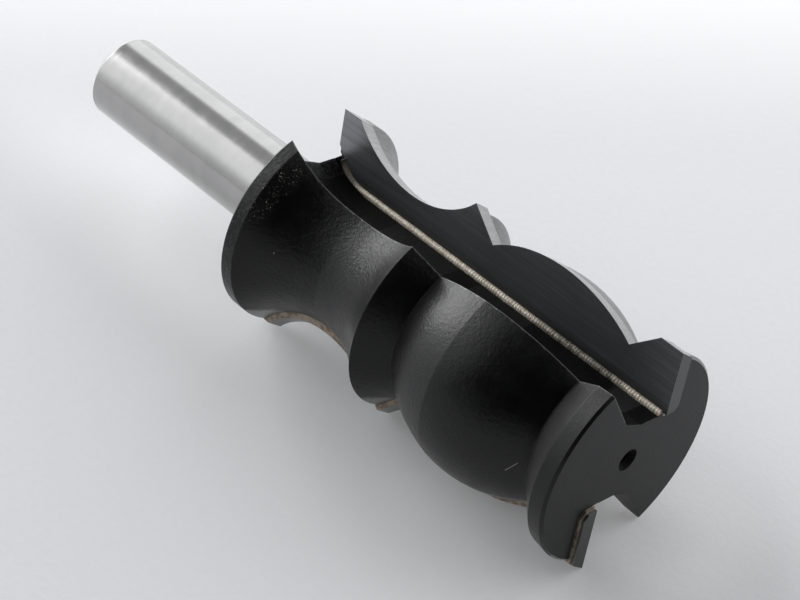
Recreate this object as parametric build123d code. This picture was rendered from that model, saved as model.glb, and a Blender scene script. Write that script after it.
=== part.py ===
from build123d import *
from math import asin, atan2, cos, degrees, radians, sin, sqrt, tan
import os

os.makedirs("parts", exist_ok=True)

# Two-flute profile router bit with brazed carbide tips, for a 12 mm collet, lying as it rests.
# The axis is X: x = 0 is the shoulder where the shank meets the head, +X runs to the cutting end.
# Stations on the head are given as s, the distance back from its flat end face.

# Overall sizes, mm
SHANK_D = 12.0
SHANK_LEN = 38.5
HEAD_LEN = 58.4
CUT_R = 16.0
SHANK_CHAMFER = 0.8

# Cutting profile: radii over s
TIP_OUT = 0.7            # the tips stand past the end face by this much
TIP_LAND_END = 2.87
TIP_VALLEY = 7.08
BARREL_MID = 18.71       # station of the barrel's largest radius
BARREL_ARC = 19.7
STEP_FOOT = 30.41
RIB_PEAK = 34.33
SCOOP_MID = 44.98
SCOOP_MIN_R = 10.93
SCOOP_ARC = 13.58
SHANK_LAND = 55.63
TIP_END = 58.62

# Carbide tips, their seats and the braze
HOOK = 17.5              # degrees between the tip's face and the radius to its edge
TIP_T = 2.1
BRAZE = 0.35
RELIEF = 1.6             # how far the profile has dropped at the tip's back
ROOT_U = 5.3             # the tip's inner edge, measured in its face
CORNER_AT = 53.3         # where the inner edge turns up at the shank end
CORNER_R = 4.0
CORNER_ANGLE = 51.0
LEDGE_W = 0.9            # seat ledge in front of the tip's face
BEAD_R = 0.62
BEAD_FROM = 0.05         # stations between which the bead shows
BEAD_TO = 57.6
BRAZE_OUT = 0.3          # the braze stands past the end face by this much
SEAT_CUT = 0.85          # bevelled corner between each seat's floor and its back
TIP_CUT = SEAT_CUT - BRAZE * (2 - sqrt(2))

# Gullets: section in the tip's frame, u along the face and w out in front of it
FLOOR_U = ROOT_U - BRAZE
GULLET = [(5.4, 3.97), (7.0, 7.1), (13.83, 11.28), (20.37, 15.28)]
RUN_OUT = 49.5           # from here the gullet rises towards the shank
RUN_OUT_R = 16.0
RUN_OUT_TO = 60.5
RUN_OUT_SECTIONS = 5
LIFT = (0.989, -0.15)    # the way it rises, along the face and out from it
LEDGE_FROM = 53.7        # the seat's floor turns up from here, on a wider arc than the tip's
LEDGE_R = 5.4

# Body profile behind the tips
BEVEL = 0.35
RIM_R = 15.05
RIM_BACK = (2.6, 14.7)
VALLEY = 6.8
BODY_GAP = 0.95          # the body's arcs lie this far inside the tips'
BODY_ARC = BARREL_ARC - BODY_GAP
CREASE = 21.3            # where the barrel's two turned arcs meet
CREASE_DIP = 0.15        # the second arc runs lower than the first by this much
RIB = (34.3, 14.5)
DISC_FRONT = 56.3
DISC_R = 15.06
DISC_BREAK = 0.25        # broken edge at the shoulder

# Centre hole in the end face
HOLE_D = 2.2
HOLE_DEPTH = 6.0
SINK_D = 3.2
SINK_ANGLE = 60.0

OVERRUN = 1.0            # blocks and cutters run past the edges they make
CLEAR_U = 22.0           # well outside the cutting circle

face_back = CUT_R * sin(radians(HOOK))
SPREAD = 42.45           # degrees from the cutting corner to the heel lip on the far side of the gullet
lean = degrees(atan2(CUT_R - RIM_R * cos(radians(SPREAD)), RIM_R * sin(radians(SPREAD))))
face_dir = 90 - lean + HOOK


def x_at(s):
    return HEAD_LEN - s


def in_face(s, r):
    # point of the tip's face on radius r
    return (x_at(s), sqrt(r * r - face_back ** 2))


def barrel_r(s, arc):
    return CUT_R - BARREL_ARC + sqrt(arc ** 2 - (s - BARREL_MID) ** 2)


def scoop_r(s):
    return SCOOP_MIN_R + SCOOP_ARC - sqrt(SCOOP_ARC ** 2 - (s - SCOOP_MID) ** 2)


def stations(a, b, n):
    return [a + (b - a) * k / n for k in range(n + 1)]


def tip_frame(s=0.0):
    # section plane: local x is u, local y runs out in front of the tip's face, from the axis
    a = radians(face_dir)
    return Plane(origin=(x_at(s), 0, 0), x_dir=(0, cos(a), sin(a)), z_dir=(1, 0, 0))


# The tip's face lies in this plane: local x is along the bit, local y is u, local z points behind it
a = radians(face_dir)
behind = Vector(0, sin(a), -cos(a))
outward = Vector(0, cos(a), sin(a))
face_plane = Plane(origin=behind * face_back, x_dir=(1, 0, 0), z_dir=behind)
flip = 1 if face_plane.y_dir.dot(outward) > 0 else -1


def face_pt(x, u):
    return (x, flip * u)


def root_line(gap):
    # inner edge of the tip in its face, moved inwards by gap: straight, then up round the corner
    t = radians(CORNER_ANGLE)
    r = CORNER_R + gap
    x0, u0 = x_at(CORNER_AT), ROOT_U - gap
    x1, u1 = x0 - r * sin(t), u0 + r * (1 - cos(t))
    x2 = x_at(TIP_END) - OVERRUN
    u2 = u1 + (x1 - x2) * tan(t)
    mid = (x0 - r * sin(t / 2), u0 + r * (1 - cos(t / 2)))
    return [(x0, u0), mid, (x1, u1), (x2, u2)]


def root_path(x_start, floor):
    # the floor line as edges in the face's plane
    p0, pm, p1, p2 = [face_pt(*p) for p in floor]
    return [Line(face_pt(x_start, floor[0][1]), p0), ThreePointArc(p0, pm, p1), Line(p1, p2)]


def seat_block(floor, x_tip, w_front, depth, cut):
    # everything outward of the floor line, between w_front before the face and depth behind it,
    # with the corner between floor and back bevelled
    x_end = floor[-1][0]
    rest = Polyline(face_pt(*floor[-1]), face_pt(x_end, CLEAR_U), face_pt(x_tip, CLEAR_U),
                    face_pt(x_tip, floor[0][1]))
    sk = face_plane.offset(-w_front) * make_face(Wire([*root_path(x_tip, floor), *rest.edges()]))
    block = extrude(sk, amount=w_front + depth, dir=behind)
    back = block.edges().group_by(lambda e: e.center().dot(behind))[-1]
    foot = back.sort_by(lambda e: e.center().dot(outward))[:3]
    return chamfer(foot, cut)


def profile_block(depth, x_tip, x_end):
    # the cutting profile, carried back behind the face and inwards for relief
    barrel = [in_face(s, barrel_r(s, BARREL_ARC)) for s in stations(TIP_VALLEY, STEP_FOOT, 10)]
    scoop = [in_face(s, scoop_r(s)) for s in stations(RIB_PEAK, SHANK_LAND, 10)]
    land = in_face(0, CUT_R)[1]
    lines = [
        Polyline(face_pt(x_tip, 0), face_pt(x_tip, land), face_pt(x_at(TIP_LAND_END), land),
                 face_pt(*barrel[0])),
        Spline(*[face_pt(*p) for p in barrel]),
        Line(face_pt(*barrel[-1]), face_pt(*scoop[0])),
        Spline(*[face_pt(*p) for p in scoop]),
        Polyline(face_pt(*scoop[-1]), face_pt(x_end, land), face_pt(x_end, 0), face_pt(x_tip, 0)),
    ]
    sk = face_plane * make_face(Wire([e for ln in lines for e in ln.edges()]))
    slant = behind * TIP_T - outward * RELIEF
    return extrude(sk, amount=slant.length * depth / TIP_T, dir=slant)


def make_tip():
    block = profile_block(TIP_T, x_at(-TIP_OUT), x_at(TIP_END))
    return block & seat_block(root_line(0), x_at(-TIP_OUT), 0.0, TIP_T, TIP_CUT)


def make_braze(tip):
    x_tip = x_at(-BRAZE_OUT)
    layer = profile_block(TIP_T + BRAZE, x_tip, x_at(TIP_END - BRAZE))
    layer &= seat_block(root_line(BRAZE), x_tip, 0.0, TIP_T + BRAZE, SEAT_CUT)
    # bead squeezed out along the foot of the face
    line = root_line(BRAZE)
    (x1, u1), (x2, u2) = line[2:]
    k = (x1 - x_at(BEAD_TO)) / (x1 - x2)
    line[3] = (x_at(BEAD_TO), u1 + (u2 - u1) * k)
    path = face_plane * Wire(root_path(x_at(BEAD_FROM), line))
    foot = tip_frame(BEAD_FROM) * Pos(FLOOR_U, -face_back) * Circle(BEAD_R)
    quarter = Rectangle(BEAD_R, BEAD_R, align=(Align.MIN, Align.MIN))
    corner = tip_frame(BEAD_FROM) * Pos(FLOOR_U, -face_back) * quarter
    bead = sweep(foot & corner, path=path)
    return (layer - tip) + bead


def make_gullet():
    outline = [(FLOOR_U, 0.0), *GULLET, (GULLET[-1][0], 0.0)]

    def section(s):
        rise = RUN_OUT_R - sqrt(RUN_OUT_R ** 2 - (s - RUN_OUT) ** 2)
        pts = [(u + rise * LIFT[0], w + rise * LIFT[1] - face_back) for u, w in outline]
        return tip_frame(s) * make_face(Polyline(*pts, close=True))

    straight = extrude(section(RUN_OUT), amount=RUN_OUT + OVERRUN, dir=(1, 0, 0))
    run_out = loft([section(s) for s in stations(RUN_OUT, RUN_OUT_TO, RUN_OUT_SECTIONS)])
    return straight, run_out


def make_body():
    arc_lo = (x_at(0.5 * (VALLEY + CREASE)), barrel_r(0.5 * (VALLEY + CREASE), BODY_ARC))
    valley = (x_at(VALLEY), barrel_r(VALLEY, BODY_ARC))
    crease = (x_at(CREASE), barrel_r(CREASE, BODY_ARC))
    foot = (x_at(STEP_FOOT), barrel_r(STEP_FOOT, BODY_ARC))
    mid_s = 0.5 * (CREASE + STEP_FOOT)
    arc_hi = (x_at(mid_s), barrel_r(mid_s, BODY_ARC) - CREASE_DIP)
    rib = (x_at(RIB[0]), RIB[1])
    disc = (x_at(DISC_FRONT), DISC_R)
    scoop = ThreePointArc(disc, (x_at(SCOOP_MID), SCOOP_MIN_R - BODY_GAP), rib)
    r = SHANK_D / 2
    lines = [
        Polyline((-SHANK_LEN, 0), (-SHANK_LEN, r - SHANK_CHAMFER), (SHANK_CHAMFER - SHANK_LEN, r), (0, r),
                 (0, DISC_R - DISC_BREAK), (DISC_BREAK, DISC_R), disc),
        Spline(*[scoop @ t for t in stations(0, 1, 10)]),
        Line(rib, foot),
        ThreePointArc(foot, arc_hi, crease),
        ThreePointArc(crease, arc_lo, valley),
        Polyline(valley, (x_at(RIM_BACK[0]), RIM_BACK[1]), (x_at(BEVEL), RIM_R), (HEAD_LEN, RIM_R - BEVEL),
                 (HEAD_LEN, 0), (-SHANK_LEN, 0)),
    ]
    body = revolve(make_face(Wire([e for ln in lines for e in ln.edges()])), axis=Axis.X)
    hole = Pos(HEAD_LEN, 0, 0) * Rot(0, -90, 0)
    body -= hole * Pos(0, 0, HOLE_DEPTH / 2) * Cylinder(HOLE_D / 2, HOLE_DEPTH)
    sink_h = (SINK_D - HOLE_D) / 2 * tan(radians(SINK_ANGLE))
    body -= hole * Pos(0, 0, sink_h / 2) * Cone(SINK_D / 2, HOLE_D / 2, sink_h)
    return body


def ledge_line():
    # seat floor: level with the gullet's, then up round the run-out left by the seat's own cutter
    t = asin((TIP_END - LEDGE_FROM) / LEDGE_R)
    x0, x2 = x_at(LEDGE_FROM), x_at(TIP_END)
    u2 = FLOOR_U + LEDGE_R * (1 - cos(t))
    mid = (x0 - LEDGE_R * sin(t / 2), FLOOR_U + LEDGE_R * (1 - cos(t / 2)))
    return [(x0, FLOOR_U), mid, (x2, u2), (x2 - OVERRUN, u2 + OVERRUN * tan(t))]


tip = make_tip()
braze = make_braze(tip)
straight, run_out = make_gullet()
seat = seat_block(ledge_line(), x_at(-OVERRUN), LEDGE_W, TIP_T + BRAZE, SEAT_CUT)
body = make_body()
for turn in (0, 180):
    for cutter in (straight, run_out, seat):
        body -= Rot(turn, 0, 0) * cutter

export_step(body, "parts/cutter_body.step")
for n, turn in ((1, 0), (2, 180)):
    export_step(Rot(turn, 0, 0) * tip, f"parts/carbide_tip_{n}.step")
    export_step(Rot(turn, 0, 0) * braze, f"parts/braze_seam_{n}.step")
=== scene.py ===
import bpy
from mathutils import Matrix, Vector

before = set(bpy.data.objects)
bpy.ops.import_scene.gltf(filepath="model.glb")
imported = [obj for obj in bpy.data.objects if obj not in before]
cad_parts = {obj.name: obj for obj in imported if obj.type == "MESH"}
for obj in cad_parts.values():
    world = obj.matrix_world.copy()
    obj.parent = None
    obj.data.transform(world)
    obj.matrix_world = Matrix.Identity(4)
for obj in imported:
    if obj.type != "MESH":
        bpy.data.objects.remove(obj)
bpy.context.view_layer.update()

# A two-flute profile router bit, lying as it rests. Object coordinates are the row frame in metres, and
# the materials work in millimetres: x = 0 is the shoulder, and +X runs to the cutting end. The lower
# flute is the upper one turned half a turn about X.
MM = 0.001
AXIS = (0.0, 0.0, 0.0)
ACROSS = (0.0, 1.0, 1.0)                 # keeps y and z alone

# ---------------------------------------------------------------- places on the bit, in mm

# Upper flute: directions across the axis, and distances from the axis along them
FACE_NORMAL = (0.0, -0.9898, 0.1426)     # out of the tip's face
FACE_UP = (0.0, 0.1426, 0.9898)          # outward along the face
FACE_OFF = 4.811                         # the face is this far behind the axis
WALL_NORMAL = (0.0, 0.919, 0.395)        # out of the gullet's far wall
WALL_UP = (0.0, -0.395, 0.919)           # outward along the wall
WALL_OFF = 1.7006                        # from the axis to the wall, along its normal
GROUND_NORMAL = (0.0, -0.191, 0.982)     # square to the plane where the bare ground steel starts

# Gullet: it runs out towards the shank on an arc, which also moves its far wall
RUN_OUT_X = 8.9
RUN_OUT_R = 16.0
RUN_OUT_SHIFT = 0.644                    # movement of the wall for each mm of rise
LIP_FROM = 8.0                           # outward along the wall, where the lip's worn, painted-highlight line starts
LIP_HALF_WIDTH = (0.07, 0.20)            # least and most
LOW_LIP = (54.0, 50.0)                   # the lower lip's line fades in from station to station
# Painted shade in the gullet starts at the far wall, at the plane of the tip's face, and at the shoulder
GULLET_SHADE_WALL = (-0.02, 0.04)
GULLET_SHADE_FACE = (-FACE_OFF - 0.1, -FACE_OFF + 0.1)
GULLET_SHADE_SHOULDER = (0.05, 0.2)

# Bare ground steel behind the tips
GROUND_BEHIND = -7.2                     # along the face's normal
GROUND_UPPER = 0.9                       # along GROUND_NORMAL, behind the upper tip
GROUND_LOWER = 6.7                       # and behind the lower one
GROUND_RAGGED = 3.0                      # how far its edge wanders
GROUND_FADE = 1.0

# Stations along the bit. A pair of pairs is a stretch: where it fades in, and where it fades out
SHOULDER_X = -0.04                       # the shank is bare up to here
TURNED_EDGES = (0.2, 2.1, 28.0, 51.6)    # edges with a painted highlight line
EDGE_LINE = (0.10, 0.03)                 # from the edge: where its line starts, and where it is full
DISC_LAND = ((0.05, 0.3), (1.9, 2.3))
SCOOP = ((3.0, 8.0), (18.0, 24.0))
RIM = (49.0, 52.0)                       # the coat gets smoother between these
SHEEN_BANDS = ((13.0, 24.0, 0.40), (28.2, 37.1, 0.40), (51.9, 55.6, 0.96))     # from, to, how strong: lighter bands of painted highlight on the coat
SHEEN_FADE = 0.3

# Small marks, and the centre hole
SPECKS_ALONG = ((1.6, 2.3), (2.8, 5.0))
SPECKS_UP = (7.5, 9.5)                   # z where they start, and where all show
SPECKS_FRONT = (-2.5, -4.0)              # the same for y
LONE_SPECK_AT = (6.08, -11.05, 4.25)
LONE_SPECK_R = 0.13
SCRATCH_AT = (50.1, -11.8, 0.7)
SCRATCH_ACROSS = (-0.66, -0.36, 0.66)
SCRATCH_HALF_WIDTH = 0.07
SCRATCH_HALF_LENGTH = 1.1
HOLE_R = 1.62                            # just past the countersink
HOLE_FROM = 50.0                         # station

# Tips and braze
TIP_FLANKS = (FACE_OFF + 0.01, FACE_OFF + 0.05)    # behind the axis, where a tip's flanks start
FACE_SHADE_ENDS = (5.0, 7.6)                    # outward, where the painted shade at a face's root ends
BRAZE_LAYER = -FACE_OFF - 0.3            # the layer under a tip is behind this, and the bead in front
RIBBED = (14.0, 32.0)                    # the bead's ribs grow between these stations
# painted shade along a stretch of the bead
BEAD_SHADE_STRETCH = ((33.0, 42.0), (50.0, 54.0))
BEAD_DARK_END = (2.0, 1.1)                 # the bead is darker at its end by the shoulder

# Where a surface faces: limits on its normal's share along X
END_FACE = (0.80, 0.95)
GULLET_SHADE_END_FACE = 0.90
GROUND_END_FACE = 0.95
OFF_WALL = (0.75, 0.90)                  # the same along the gullet wall's normal

# Depth of the relief, and the radius to which sharp edges are shaded
BIT_RELIEF = 0.03
BIT_EDGE_R = 0.12
TIP_RELIEF = 0.006
TIP_EDGE_R = 0.05
BRAZE_RELIEF = 0.028
FLOOR_RELIEF = 0.05
EDGE_SAMPLES = 6


# ---------------------------------------------------------------- colours and finishes

def grey(value, warmth=0.0):
    """A linear colour with its alpha: grey, or a little warmer above 0 and cooler below it."""
    return (value * (1 + warmth), value, value * (1 - warmth), 1.0)


SHANK_DARK = grey(0.38)
SHANK_LIGHT = grey(0.50, warmth=0.022)
SHANK_CLOUD = grey(0.34)
COAT_DARK = grey(0.0012, warmth=-0.06)
COAT_LIGHT = grey(0.0032, warmth=-0.06)
# Lighter coat colour: painted sheen, in bands where the highlights fall
PAINTED_SHEEN = grey(0.032)
# Lighter grey: wear rubbed on the disc's land, and painted highlight lines along the turned edges
RUBBED_AND_GLINT = grey(0.06)
# Worn lip line, which is also a painted highlight along the lip
LIP_WEAR_AND_GLINT = grey(0.20)
SPECK = (0.36, 0.34, 0.29, 1.0)
GROUND_DARK = grey(0.17)
GROUND_LIGHT = grey(0.25)
GROUND_CHIP = grey(0.50)
FACE_DARK = grey(0.22, warmth=-0.04)
FACE_LIGHT = grey(0.33, warmth=-0.04)
FACE_STREAK = grey(0.40, warmth=-0.05)
# painted shade at a face's root, deep in the gullet
FACE_SHADE = grey(0.06, warmth=-0.04)
FLANK_DARK = grey(0.31)
FLANK_LIGHT = grey(0.43)
# painted shade: the lower tip's flanks and end face are darker copies of the upper ones
FLANK_LOWER_SHADE = grey(0.09)
TIP_END_UPPER = grey(0.075)
TIP_END_LOWER_SHADE = grey(0.06)
BEAD_DULL = (0.60, 0.52, 0.42, 1.0)
BEAD_BRIGHT = (0.86, 0.80, 0.69, 1.0)
BEAD_RIB = (0.22, 0.17, 0.12, 1.0)
BEAD_GRAIN = (0.34, 0.28, 0.21, 1.0)
# dark bead: painted shade along a stretch, and its darker end by the shoulder
BEAD_DARK = (0.07, 0.06, 0.05, 1.0)
LAYER_UPPER = grey(0.36, warmth=0.03)
LAYER_LOWER_DARK = (0.18, 0.135, 0.10, 1.0)
LAYER_LOWER_LIGHT = (0.40, 0.33, 0.26, 1.0)
FLOOR_DARK = (0.585, 0.59, 0.605, 1.0)
FLOOR_LIGHT = (0.625, 0.63, 0.645, 1.0)
# painted light: the floor is lighter away from the camera, where it is lit more
FLOOR_FAR = (0.70, 0.70, 0.71, 1.0)
WHITE = (1.0, 1.0, 1.0, 1.0)
SKY = (0.97, 0.985, 1.0, 1.0)

# Roughness. A pair is the smoothest and the roughest place
SHANK_ROUGH = (0.14, 0.21)
COAT_ROUGH = (0.31, 0.38)
END_FACE_ROUGH = 0.44
GULLET_SHADE_ROUGH = 0.55
GROUND_ROUGH = 0.36
HOLE_ROUGH = 0.90
FACE_ROUGH = (0.34, 0.40)
FLANK_ROUGH = 0.33
BRAZE_ROUGH = (0.40, 0.58)
FLOOR_ROUGH = 0.75

# How metallic a surface is, and how strongly the rest of it reflects
LIP_GLINT_METAL = 0.50
# the gullet is made darker, as painted shade, by turning its near-black coat metallic
GULLET_SHADE_METAL = 0.65
CARBIDE_METAL = 0.75
BRAZE_METAL = 0.35
COAT_SPECULAR = 0.31
FLOOR_SPECULAR = 0.20

# How much of each mark's colour shows at most. A pair is the least and the most
EDGE_SHARE = 0.55
DISC_SHARE = 0.60
LIP_GLINT_SHARE = 0.45
SPECK_SHARE = 0.80
FLANK_SHADE_SHARE = 0.60
CLOUD_SHARE = (0.0, 0.30)
STREAK_SHARE = (0.0, 0.50)
RIB_SHARE = (0.06, 0.30)
GRAIN_SHARE = 0.55
BEAD_SHADE_SHARE = (0.55, 0.95)

# Heights within the relief
LINE_HEIGHT = 0.25
PEEL_HEIGHT = (1.8, 0.9)                 # before the rim, and on it
CREASE_HEIGHT = 2.5
RIB_HEIGHT = (0.3, 0.75)

# Limits between which a noise or a wave takes a mark from nothing to full
NOISE_RANGE = (0.3, 0.7)                 # most of a noise lies between these
FACE_LINES = (0.3, 0.75)
STAINS_ON_BEAD = (0.3, 0.65)
STAINS_ON_LAYER = (0.35, 0.6)
STAINS_WHERE_SHADED = (0.7, 0.3)
RIB_GAPS = (0.4, 0.0)
GRAIN_PITS = (0.56, 0.38)

# ---------------------------------------------------------------- floor, light and camera

# Where the bit touches what it lies on
FLOOR_POINT = Vector((0.25, 2.73, -14.812)) * MM
FLOOR_TILT = 0.0069                      # rad about Y
FLOOR_SIZE = 6.0                         # m

# The floor's own glow shows directly and in reflections, and lights nothing else. Each part has its
# limits in mm from FLOOR_POINT, along one of these directions, and its level at them
AWAY = (-0.6, 0.75, 0.0)                 # from the camera
RIGHTWARD = (0.67, 0.75, 0.0)            # in the picture
UPWARD = (-0.70, 0.71, 0.0)              # in the picture
AWAY_GLOW = ((-60.0, 110.0), (0.0, 0.07))
RIGHT_GLOW = ((-60.0, 90.0), (0.085, 0.135))
TOP_GLOW = ((30.0, 90.0), (0.0, 0.22))
FAR_COLOUR = (-20.0, 190.0)              # where the floor is painted lighter away from the camera, as painted light
# Pools of light: centre, squash along x, y and z, where each is full, where it ends, level
POOLS = (((-18.0, -8.0, 0.0), (0.6, 2.0, 0.0), 8.0, 32.0, 0.10),
         ((62.0, 2.0, 0.0), (1.0, 1.0, 0.0), 5.0, 16.0, 0.09))

# Strength of the sky: limits on the direction, and the level or share at them
BEHIND_LEVEL = ((-0.10, -0.55), (0.0, 1.45))       # by x, towards the shank's end
BEHIND_SHARE = ((-0.88, -0.62), (0.35, 1.0))       # by y
FAR_LEVEL = ((0.10, 0.60), (0.0, 1.60))            # by y, beyond the bit
STRIPE_WAY = (-0.583, 0.272, 0.766)      # the way to a darker patch, which the shank mirrors
STRIPE_SHARE = ((0.93, 0.975), (1.0, 0.33))
LEAST_LEVEL = ((0.7, 0.0), (0.015, 0.06))          # by z, from overhead down to the horizon
HORIZON = (0.03, 0.0)                    # by z
HORIZON_LEVEL = 0.7

KEY_LIGHT_AT = (-0.88, -0.02, 0.42)      # m
KEY_LIGHT_SIZE = 0.7                     # m
KEY_LIGHT_POWER = 7.2                    # W

CAMERA_AT = Vector((178.656, -164.139, 225.438)) * MM
CAMERA_RIGHT = Vector((0.68891, 0.72391, 0.03681))
CAMERA_FORWARD = Vector((-0.49576, 0.50762, -0.70466))
CAMERA_LENS = 111.66                     # mm
CAMERA_SENSOR = 36.0                     # mm
CAMERA_NEAR = 0.01                       # m


# ---------------------------------------------------------------- node helpers

RISING = (0.0, 1.0)
FALLING = (1.0, 0.0)


class Nodes:
    """Short calls for one node tree. A value is a number, a colour, a vector or a node's output."""

    def __init__(self, tree):
        self.tree = tree

    def put(self, value, socket):
        """Links an output to the socket, or sets the socket's own value."""
        if isinstance(value, bpy.types.NodeSocket):
            self.tree.links.new(value, socket)
        else:
            socket.default_value = value

    def add(self, kind, inputs=(), **settings):
        node = self.tree.nodes.new(kind)
        for key, value in settings.items():
            setattr(node, key, value)
        for key, value in dict(inputs).items():
            self.put(value, node.inputs[key])
        return node

    def math(self, operation, first, *others):
        """One operation on a value alone, or on several values in turn."""
        if not others:
            return self.add("ShaderNodeMath", {0: first}, operation=operation).outputs[0]
        total = first
        for other in others:
            total = self.add("ShaderNodeMath", {0: total, 1: other}, operation=operation).outputs[0]
        return total

    def times(self, *values):
        return self.math("MULTIPLY", *values)

    def plus(self, *values):
        return self.math("ADD", *values)

    def minus(self, *values):
        return self.math("SUBTRACT", *values)

    def largest(self, *values):
        return self.math("MAXIMUM", *values)

    def size(self, value):
        return self.math("ABSOLUTE", value)

    def sign(self, value):
        return self.math("SIGN", value)

    def below(self, value, limit):
        return self.math("LESS_THAN", value, limit)

    def above(self, value, limit):
        return self.math("GREATER_THAN", value, limit)

    def vector(self, operation, a, b, output="Vector"):
        return self.add("ShaderNodeVectorMath", {0: a, 1: b}, operation=operation).outputs[output]

    def scaled(self, place, factors):
        return self.vector("MULTIPLY", place, factors)

    def dot(self, place, direction):
        return self.vector("DOT_PRODUCT", place, direction, "Value")

    def distance(self, place, point):
        return self.vector("DISTANCE", place, point, "Value")

    def axes(self, vector):
        """The x, y and z of a vector."""
        return self.add("ShaderNodeSeparateXYZ", {0: vector}).outputs

    def normal(self):
        return self.add("ShaderNodeNewGeometry").outputs["Normal"]

    def step(self, value, limits, results=RISING):
        """Smooth change from the first result to the second between two limits."""
        inputs = {"Value": value, "From Min": limits[0], "From Max": limits[1],
                  "To Min": results[0], "To Max": results[1]}
        return self.add("ShaderNodeMapRange", inputs, interpolation_type="SMOOTHSTEP").outputs["Result"]

    def stretch(self, value, fade_in, fade_out):
        """1 between the two fades, and 0 outside them."""
        return self.times(self.step(value, fade_in), self.step(value, fade_out, FALLING))

    def noise(self, place, scale, detail=2.0, roughness=0.5, distortion=0.0, limits=None, results=RISING):
        """Noise of one scale, or of three along x, y and z. Limits, if given, spread it over the results."""
        if isinstance(scale, tuple):
            place, scale = self.scaled(place, scale), 1.0
        inputs = {"Vector": place, "Scale": scale, "Detail": detail, "Roughness": roughness,
                  "Distortion": distortion}
        noise = self.add("ShaderNodeTexNoise", inputs).outputs["Fac"]
        return self.step(noise, limits, results) if limits else noise

    def mix(self, factor, a, b, kind="RGBA"):
        """Mix of two colours, or of two numbers if the kind is FLOAT."""
        node = self.add("ShaderNodeMix", data_type=kind)
        sockets = [socket for socket in node.inputs if socket.enabled]
        for value, socket in zip((factor, a, b), sockets):
            self.put(value, socket)
        return next(socket for socket in node.outputs if socket.enabled)

    def blend(self, factor, a, b):
        return self.mix(factor, a, b, kind="FLOAT")

    def relief(self, height, depth, edge_r=0.0):
        """A normal with bumps depth mm high, and with sharp edges shaded round where edge_r is given."""
        inputs = {"Height": height, "Distance": depth * MM}
        if edge_r:
            edge = self.add("ShaderNodeBevel", {"Radius": edge_r * MM}, samples=EDGE_SAMPLES)
            inputs["Normal"] = edge.outputs[0]
        return self.add("ShaderNodeBump", inputs).outputs[0]


def material(name):
    """A new material, its nodes, its shader, and the place on the object in mm."""
    mat = bpy.data.materials.new(name)
    mat.use_nodes = True
    n = Nodes(mat.node_tree)
    shader = mat.node_tree.nodes["Principled BSDF"]
    place = n.add("ShaderNodeTexCoord").outputs["Object"]
    return mat, n, shader, n.scaled(place, (1 / MM,) * 3)


def wire(n, shader, **sockets):
    """Fills the shader's named sockets, with an underscore for each space."""
    for key, value in sockets.items():
        n.put(value, shader.inputs[key.replace("_", " ")])


# ---------------------------------------------------------------- materials

def shank_look(n, mm):
    """Ground steel: fine turned lines round the shank, under faint broad clouds."""
    lines = n.noise(mm, scale=(9.0, 0.35, 0.35), detail=3.0, roughness=0.65)
    clouds = n.noise(mm, scale=(0.35, 0.16, 0.16), limits=(0.35, 0.75), results=CLOUD_SHARE)
    colour = n.mix(clouds, n.mix(lines, SHANK_DARK, SHANK_LIGHT), SHANK_CLOUD)
    return colour, n.step(lines, NOISE_RANGE, SHANK_ROUGH), n.times(lines, LINE_HEIGHT)


def coat_look(n, mm, x):
    """Black coat: orange peel all over, creased like leather in the scoop, with lighter bands of painted
    sheen where highlights fall.
    """
    clouds = n.noise(mm, scale=0.35)
    colour = n.mix(n.step(clouds, NOISE_RANGE), COAT_DARK, COAT_LIGHT)
    # lighter bands of painted highlight on the coat
    bands = [n.times(n.stretch(x, (start - SHEEN_FADE, start), (end, end + SHEEN_FADE)), share)
             for start, end, share in SHEEN_BANDS]
    colour = n.mix(n.largest(*bands), colour, PAINTED_SHEEN)
    peel = n.noise(mm, scale=2.0, detail=3.0, roughness=0.6)
    creases = n.noise(mm, scale=(1.5, 1.9, 1.9), detail=3.0, roughness=0.6, distortion=1.2)
    height = n.plus(n.times(peel, n.step(x, RIM, PEEL_HEIGHT)),
                    n.times(creases, n.stretch(x, *SCOOP), CREASE_HEIGHT))
    return colour, n.step(clouds, NOISE_RANGE, COAT_ROUGH), height


def gullet_marks(n, mm, x, normal_x):
    """The thin line along each gullet's outer lip, worn and with a painted highlight, and painted shade in
    the gullet, both from 0 to 1.
    """
    run_out = n.largest(n.minus(RUN_OUT_X, x), 0.0)
    arc = n.math("SQRT", n.minus(RUN_OUT_R ** 2, n.times(run_out, run_out)))
    shift = n.times(n.minus(RUN_OUT_R, arc), RUN_OUT_SHIFT)
    reach = n.dot(mm, WALL_NORMAL)
    side = n.sign(reach)
    off_wall = n.minus(n.size(reach), WALL_OFF, shift)

    half_width = n.noise(mm, scale=1.3, detail=3.0, limits=(0.35, 0.7), results=LIP_HALF_WIDTH)
    # the lip line: wear, and a painted highlight
    line = n.times(n.below(n.size(off_wall), half_width),
                   n.above(n.times(side, n.dot(mm, WALL_UP)), LIP_FROM))
    shown = n.largest(n.above(reach, 0.0), n.step(x, LOW_LIP))
    facing_wall = n.size(n.dot(n.normal(), WALL_NORMAL))
    lip_wear_and_glint = n.times(line, shown, n.step(facing_wall, OFF_WALL, FALLING))

    # painted shade in the gullet
    in_front = n.times(side, n.dot(mm, FACE_NORMAL))
    gullet_shade = n.times(n.step(off_wall, GULLET_SHADE_WALL), n.step(in_front, GULLET_SHADE_FACE),
                   n.below(normal_x, GULLET_SHADE_END_FACE), n.step(x, GULLET_SHADE_SHOULDER))
    return lip_wear_and_glint, gullet_shade


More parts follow.
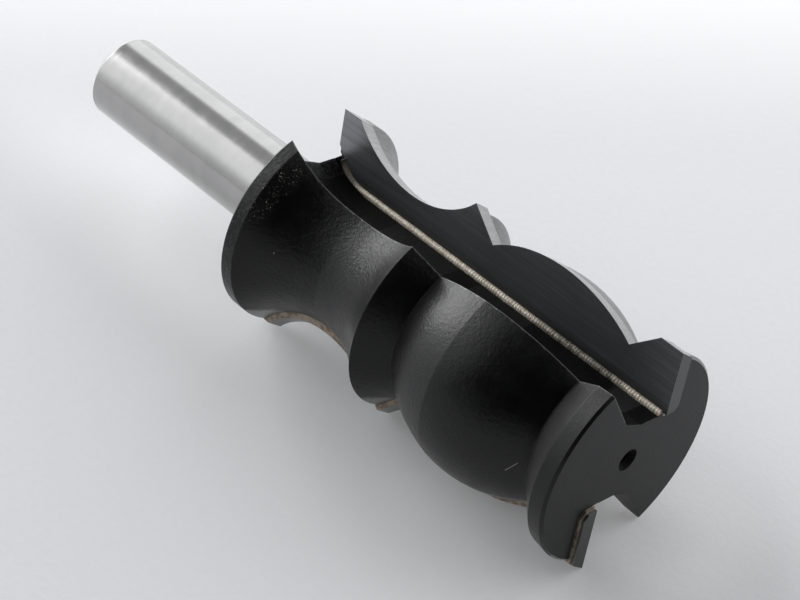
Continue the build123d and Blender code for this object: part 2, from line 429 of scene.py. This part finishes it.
def ground_mask(n, mm, normal_x):
    """Steel ground bare behind each tip, from 0 to 1. The end faces stay coated."""
    side = n.sign(n.dot(mm, FACE_UP))
    behind = n.below(n.times(side, n.dot(mm, FACE_NORMAL)), GROUND_BEHIND)
    ragged = n.noise(mm, scale=0.35, detail=4.0, roughness=0.6)
    place = n.plus(n.times(side, n.dot(mm, GROUND_NORMAL)), n.times(ragged, GROUND_RAGGED))
    start = n.blend(n.above(side, 0.0), GROUND_LOWER, GROUND_UPPER)
    reached = n.step(n.minus(place, start), (0.0, GROUND_FADE))
    return n.times(behind, reached, n.below(n.size(normal_x), GROUND_END_FACE))


def ground_look(n, mm):
    """Mottled bare steel with pale chips."""
    mottle = n.noise(mm, scale=(4.0, 0.7, 0.7), detail=4.0, roughness=0.65, limits=NOISE_RANGE)
    chips = n.noise(mm, scale=2.6, detail=3.0, roughness=0.6, limits=(0.66, 0.72))
    return n.mix(chips, n.mix(mottle, GROUND_DARK, GROUND_LIGHT), GROUND_CHIP)


def painted_edge_highlights(n, mm, x):
    """Faint painted highlight lines round the turned edges, from 0 to 1."""
    lines = [n.step(n.size(n.minus(x, station)), EDGE_LINE) for station in TURNED_EDGES]
    uneven = n.noise(mm, scale=0.9, detail=4.0, roughness=0.65, limits=(0.3, 0.6), results=(0.15, 1.0))
    return n.times(n.largest(*lines), uneven)


def disc_rub(n, mm, x):
    """Blotches rubbed on the land round the disc by the shank, from 0 to 1."""
    blotches = n.noise(mm, scale=1.6, detail=5.0, roughness=0.7, limits=(0.45, 0.7))
    return n.times(blotches, n.stretch(x, *DISC_LAND))


def spots(n, mm):
    """Pale specks near the disc, one on the scoop, and a short scratch by the rim, from 0 to 1."""
    x, y, z = n.axes(mm)
    grains = n.noise(mm, scale=4.2, roughness=0.6, limits=(0.60, 0.64))
    uneven = n.noise(mm, scale=0.55, limits=(0.40, 0.62), results=(0.1, 1.0))
    specks = n.times(grains, uneven, n.stretch(x, *SPECKS_ALONG), n.step(y, SPECKS_FRONT),
                     n.step(z, SPECKS_UP))
    lone = n.below(n.distance(mm, LONE_SPECK_AT), LONE_SPECK_R)
    beside = n.size(n.dot(n.vector("SUBTRACT", mm, SCRATCH_AT), SCRATCH_ACROSS))
    scratch = n.times(n.below(beside, SCRATCH_HALF_WIDTH),
                      n.below(n.distance(mm, SCRATCH_AT), SCRATCH_HALF_LENGTH))
    return n.largest(specks, lone, scratch)


def bit_steel():
    """The bare shank, and the black head with its marks, the painted shade in its gullets and its ground
    steel.
    """
    mat, n, shader, mm = material("coated_steel")
    x = n.axes(mm)[0]
    normal_x = n.axes(n.normal())[0]
    bare = n.below(x, SHOULDER_X)
    hole = n.times(n.below(n.distance(n.scaled(mm, ACROSS), AXIS), HOLE_R), n.above(x, HOLE_FROM))
    ground = ground_mask(n, mm, normal_x)
    lip_wear_and_glint, gullet_shade = gullet_marks(n, mm, x, normal_x)

    coat, coat_rough, coat_height = coat_look(n, mm, x)
    # painted highlights on the turned edges, wear on the disc's land, the lip's worn and painted-highlight
    # line, and specks
    marks = ((painted_edge_highlights(n, mm, x), EDGE_SHARE, RUBBED_AND_GLINT), (disc_rub(n, mm, x), DISC_SHARE, RUBBED_AND_GLINT),
             (lip_wear_and_glint, LIP_GLINT_SHARE, LIP_WEAR_AND_GLINT), (spots(n, mm), SPECK_SHARE, SPECK))
    for mask, share, colour in marks:
        coat = n.mix(n.times(mask, share), coat, colour)
    coat = n.mix(ground, coat, ground_look(n, mm))
    finishes = ((n.step(normal_x, END_FACE), END_FACE_ROUGH), (gullet_shade, GULLET_SHADE_ROUGH),
                (ground, GROUND_ROUGH), (hole, HOLE_ROUGH))
    for mask, rough in finishes:
        coat_rough = n.blend(mask, coat_rough, rough)

    steel, steel_rough, steel_height = shank_look(n, mm)
    # the gullet's painted shade turns metallic over the near-black coat
    metal = n.largest(bare, ground, n.times(lip_wear_and_glint, LIP_GLINT_METAL), n.times(gullet_shade, GULLET_SHADE_METAL))
    height = n.blend(bare, coat_height, steel_height)
    wire(n, shader, Base_Color=n.mix(bare, coat, steel), Roughness=n.blend(bare, coat_rough, steel_rough),
         Metallic=metal, Specular_IOR_Level=COAT_SPECULAR, Normal=n.relief(height, BIT_RELIEF, BIT_EDGE_R))
    return mat


def carbide():
    """Ground carbide: dark satin faces with lengthwise lines and painted shade at their root, and lighter
    flanks, painted darker on the lower tip.
    """
    mat, n, shader, mm = material("carbide")
    outward = n.dot(mm, FACE_UP)
    lower = n.below(outward, 0.0)
    flanks = n.step(n.size(n.dot(mm, FACE_NORMAL)), TIP_FLANKS)
    along = n.noise(mm, scale=(0.12, 7.0, 7.0), detail=4.0, roughness=0.7)
    across = n.noise(mm, scale=(8.0, 0.5, 0.5), detail=3.0, roughness=0.6)
    streaks = n.noise(mm, scale=(0.03, 0.9, 0.9), limits=(0.45, 0.7), results=STREAK_SHARE)

    face = n.mix(n.step(along, FACE_LINES), FACE_DARK, FACE_LIGHT)
    face = n.mix(streaks, face, FACE_STREAK)
    # painted shade at the root of each face
    face = n.mix(n.step(n.size(outward), FACE_SHADE_ENDS), FACE_SHADE, face)
    flank = n.mix(n.step(across, NOISE_RANGE), FLANK_DARK, FLANK_LIGHT)
    # painted shade on the lower tip's flanks and end face
    flank = n.mix(n.times(lower, FLANK_SHADE_SHARE), flank, FLANK_LOWER_SHADE)
    end_face = n.step(n.axes(n.normal())[0], END_FACE)
    flank = n.mix(end_face, flank, n.mix(lower, TIP_END_UPPER, TIP_END_LOWER_SHADE))

    rough = n.blend(flanks, n.step(along, NOISE_RANGE, FACE_ROUGH), FLANK_ROUGH)
    height = n.blend(flanks, along, across)
    wire(n, shader, Base_Color=n.mix(flanks, face, flank), Roughness=rough, Metallic=CARBIDE_METAL,
         Normal=n.relief(height, TIP_RELIEF, TIP_EDGE_R))
    return mat


def braze():
    """Tan brazing metal: a bead with faint ribs, painted shade along a stretch and a darker end by the
    shoulder, and the layer under the tip.
    """
    mat, n, shader, mm = material("braze")
    x = n.axes(mm)[0]
    side = n.sign(n.dot(mm, FACE_UP))
    wave = {"Vector": mm, "Scale": 0.72, "Distortion": 3.7, "Detail": 2.0, "Detail Scale": 1.8}
    ribs = n.add("ShaderNodeTexWave", wave, wave_type="BANDS", bands_direction="X").outputs["Fac"]
    stains = n.noise(mm, scale=1.1, detail=4.0, roughness=0.6)
    grain = n.noise(mm, scale=2.8, detail=4.0, roughness=0.7)

    bead = n.mix(n.step(stains, STAINS_ON_BEAD), BEAD_DULL, BEAD_BRIGHT)
    bead = n.mix(n.times(n.step(ribs, RIB_GAPS), n.step(x, RIBBED, RIB_SHARE)), bead, BEAD_RIB)
    bead = n.mix(n.times(n.step(grain, GRAIN_PITS), GRAIN_SHARE), bead, BEAD_GRAIN)
    # painted shade along a stretch of the bead, and its darker end by the shoulder
    painted_shade = n.times(n.stretch(x, *BEAD_SHADE_STRETCH), n.step(stains, STAINS_WHERE_SHADED, BEAD_SHADE_SHARE))
    bead = n.mix(n.largest(painted_shade, n.step(x, BEAD_DARK_END)), bead, BEAD_DARK)
    layer = n.mix(n.step(stains, STAINS_ON_LAYER), LAYER_LOWER_DARK, LAYER_LOWER_LIGHT)
    layer = n.mix(n.above(side, 0.0), layer, LAYER_UPPER)
    in_layer = n.below(n.times(side, n.dot(mm, FACE_NORMAL)), BRAZE_LAYER)

    rough = n.step(grain, NOISE_RANGE, BRAZE_ROUGH)
    height = n.plus(n.times(ribs, n.step(x, RIBBED, RIB_HEIGHT)), grain)
    wire(n, shader, Base_Color=n.mix(in_layer, bead, layer), Roughness=rough, Metallic=BRAZE_METAL,
         Normal=n.relief(height, BRAZE_RELIEF))
    return mat


def floor_material():
    """A pale matt floor, painted lighter away from the camera, with a faint glow of its own."""
    mat, n, shader, mm = material("pale_floor")
    away = n.dot(mm, AWAY)
    grain = n.noise(mm, scale=0.9, detail=4.0, roughness=0.7)
    colour = n.mix(n.step(away, FAR_COLOUR), n.mix(grain, FLOOR_DARK, FLOOR_LIGHT), FLOOR_FAR)
    glow = n.plus(n.step(n.dot(mm, RIGHTWARD), *RIGHT_GLOW), n.step(n.dot(mm, UPWARD), *TOP_GLOW),
                  n.step(away, *AWAY_GLOW))
    for centre, squash, full, end, level in POOLS:
        from_centre = n.distance(n.scaled(mm, squash), Vector(centre) * Vector(squash))
        glow = n.plus(glow, n.step(from_centre, (end, full), (0.0, level)))
    ray = n.add("ShaderNodeLightPath").outputs
    seen = n.largest(ray["Is Camera Ray"], ray["Is Glossy Ray"], ray["Is Transmission Ray"])
    wire(n, shader, Base_Color=colour, Roughness=FLOOR_ROUGH, Specular_IOR_Level=FLOOR_SPECULAR,
         Normal=n.relief(grain, FLOOR_RELIEF), Emission_Color=WHITE, Emission_Strength=n.times(seen, glow))
    return mat


# ---------------------------------------------------------------- surroundings

def make_floor():
    bpy.ops.mesh.primitive_plane_add(size=FLOOR_SIZE, location=FLOOR_POINT, rotation=(0, -FLOOR_TILT, 0))
    floor = bpy.context.object
    floor.name = "floor"
    floor.data.materials.append(floor_material())


def make_world():
    """Pale beyond the bit and towards the shank's end, dark overhead and on the camera's side."""
    world = bpy.data.worlds.new("studio")
    bpy.context.scene.world = world
    world.use_nodes = True
    n = Nodes(world.node_tree)
    way = n.add("ShaderNodeTexCoord").outputs["Generated"]
    x, y, up = n.axes(way)
    behind = n.times(n.step(x, *BEHIND_LEVEL), n.step(y, *BEHIND_SHARE))
    stripe = n.step(n.dot(way, STRIPE_WAY), *STRIPE_SHARE)
    bright = n.times(n.largest(behind, n.step(y, *FAR_LEVEL)), stripe)
    level = n.largest(bright, n.step(up, *LEAST_LEVEL))
    level = n.blend(n.step(up, HORIZON), level, HORIZON_LEVEL)
    wire(n, world.node_tree.nodes["Background"], Color=SKY, Strength=level)


def make_key_light():
    """One soft round lamp, turned towards the bit."""
    data = bpy.data.lights.new("key", "AREA")
    data.shape = "DISK"
    data.size = KEY_LIGHT_SIZE
    data.energy = KEY_LIGHT_POWER
    lamp = bpy.data.objects.new("key", data)
    bpy.context.scene.collection.objects.link(lamp)
    lamp.location = KEY_LIGHT_AT
    lamp.rotation_euler = (-Vector(KEY_LIGHT_AT)).to_track_quat("-Z", "Y").to_euler()


def make_camera():
    data = bpy.data.cameras.new("camera")
    data.lens = CAMERA_LENS
    data.sensor_width = CAMERA_SENSOR
    data.clip_start = CAMERA_NEAR
    camera = bpy.data.objects.new("camera", data)
    bpy.context.scene.collection.objects.link(camera)
    back = -CAMERA_FORWARD.normalized()
    right = (CAMERA_RIGHT - back * CAMERA_RIGHT.dot(back)).normalized()
    turn = Matrix((right, back.cross(right), back)).transposed()
    camera.matrix_world = Matrix.Translation(CAMERA_AT) @ turn.to_4x4()
    bpy.context.scene.camera = camera


# ---------------------------------------------------------------- scene

looks = {"cutter_body": bit_steel(), "carbide_tip": carbide(), "braze_seam": braze()}
for name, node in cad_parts.items():
    look = next(mat for start, mat in looks.items() if name.startswith(start))
    for slot in node.material_slots:
        slot.material = look

make_floor()
make_world()
make_key_light()
make_camera()
bpy.context.scene.view_settings.view_transform = "Standard"
